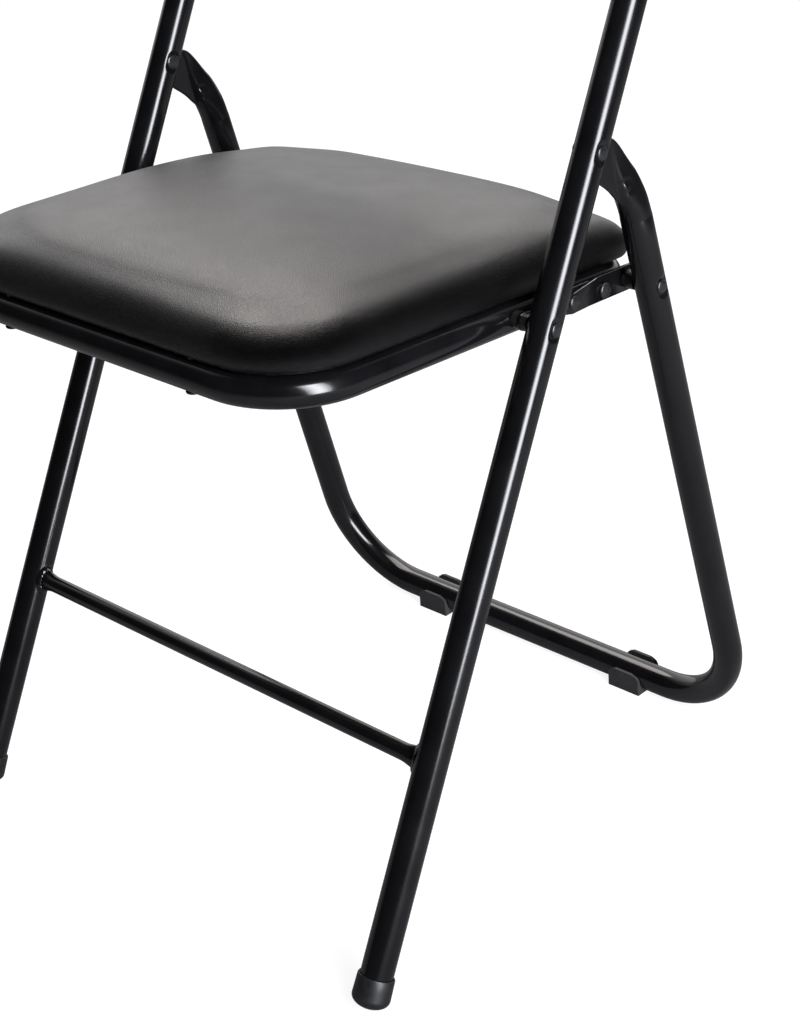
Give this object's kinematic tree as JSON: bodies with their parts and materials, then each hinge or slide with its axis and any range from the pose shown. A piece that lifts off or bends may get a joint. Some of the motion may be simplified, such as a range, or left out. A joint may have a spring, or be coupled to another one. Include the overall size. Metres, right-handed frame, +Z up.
{
  "type": "folding chair",
  "caption": "Folding chair with a leaning tubular front frame, a hinged rear frame, a padded seat that swings up and a padded back.",
  "frame": {"origin": "on the floor under the middle of the chair's box, chair open", "axes": "+X the sitter's left, +Y the rear, +Z up"},
  "size_m": [0.4568, 0.4424, 0.8],
  "materials": {
    "black_tube": "glossy black powder coat on round steel tube",
    "black_vinyl": "black leatherette with a fine grain and a satin sheen",
    "back_vinyl": "black leatherette stretched over the back board",
    "plywood": "plain plywood",
    "black_rubber": "matte black rubber",
    "rivet_steel": "black-coated steel rivets, screws and bushes"
  },
  "bodies": {
    "front_frame": {"left_front_upright": "black_tube", "right_front_upright": "black_tube", "front_top_bow": "black_tube", "front_crossbar": "black_tube", "left_foot_cap": "black_rubber", "right_foot_cap": "black_rubber", "back_board": "back_vinyl", "back_cushion": "black_vinyl", "back_screws": "rivet_steel", "left_hinge_rivet": "rivet_steel", "right_hinge_rivet": "rivet_steel", "left_seat_pivot_rivet": "rivet_steel", "right_seat_pivot_rivet": "rivet_steel", "left_pivot_spacer": "rivet_steel", "right_pivot_spacer": "rivet_steel"},
    "rear_frame": {"left_rear_leg": "black_tube", "right_rear_leg": "black_tube", "rear_floor_bow": "black_tube", "left_rear_blade": "black_tube", "right_rear_blade": "black_tube", "left_floor_pad": "black_rubber", "right_floor_pad": "black_rubber", "left_link_rivet": "rivet_steel", "right_link_rivet": "rivet_steel"},
    "seat": {"seat_ring": "black_tube", "seat_board": "plywood", "seat_cushion": "black_vinyl", "seat_screws": "rivet_steel", "left_seat_bracket": "black_tube", "right_seat_bracket": "black_tube", "left_bracket_bush": "rivet_steel", "right_bracket_bush": "rivet_steel", "left_bracket_rivet": "rivet_steel", "right_bracket_rivet": "rivet_steel", "left_link_washers": "rivet_steel", "right_link_washers": "rivet_steel"},
    "left_link": {"left_link": "black_tube", "left_stop_pin": "rivet_steel", "left_link_tail": "rivet_steel"},
    "right_link": {"right_link": "black_tube", "right_stop_pin": "rivet_steel", "right_link_tail": "rivet_steel"}
  },
  "joints": [
    {"name": "rear_fold", "type": "hinge", "parent": "front_frame", "child": "rear_frame", "pos_m": [0, 0.05892, 0.5235], "axis": [-1, 0, 0], "range_deg": [0, 40.5]},
    {"name": "seat_fold", "type": "hinge", "parent": "front_frame", "child": "seat", "pos_m": [0, 0.004, 0.418], "axis": [1, 0, 0], "range_deg": [0, 66.5]},
    {"name": "left_link_fold", "type": "hinge", "parent": "seat", "child": "left_link", "pos_m": [0.193, 0.05399, 0.4137], "axis": [-1, 0, 0], "range_deg": [0, 152.6]},
    {"name": "right_link_fold", "type": "hinge", "parent": "seat", "child": "right_link", "pos_m": [-0.193, 0.05399, 0.4137], "axis": [-1, 0, 0], "range_deg": [0, 152.6]}
  ],
  "couplings": [
    {"joint": "seat_fold", "follows": "rear_fold", "ratio": 1.642},
    {"joint": "left_link_fold", "follows": "rear_fold", "ratio": 3.7677},
    {"joint": "right_link_fold", "follows": "rear_fold", "ratio": 3.7677}
  ]
}
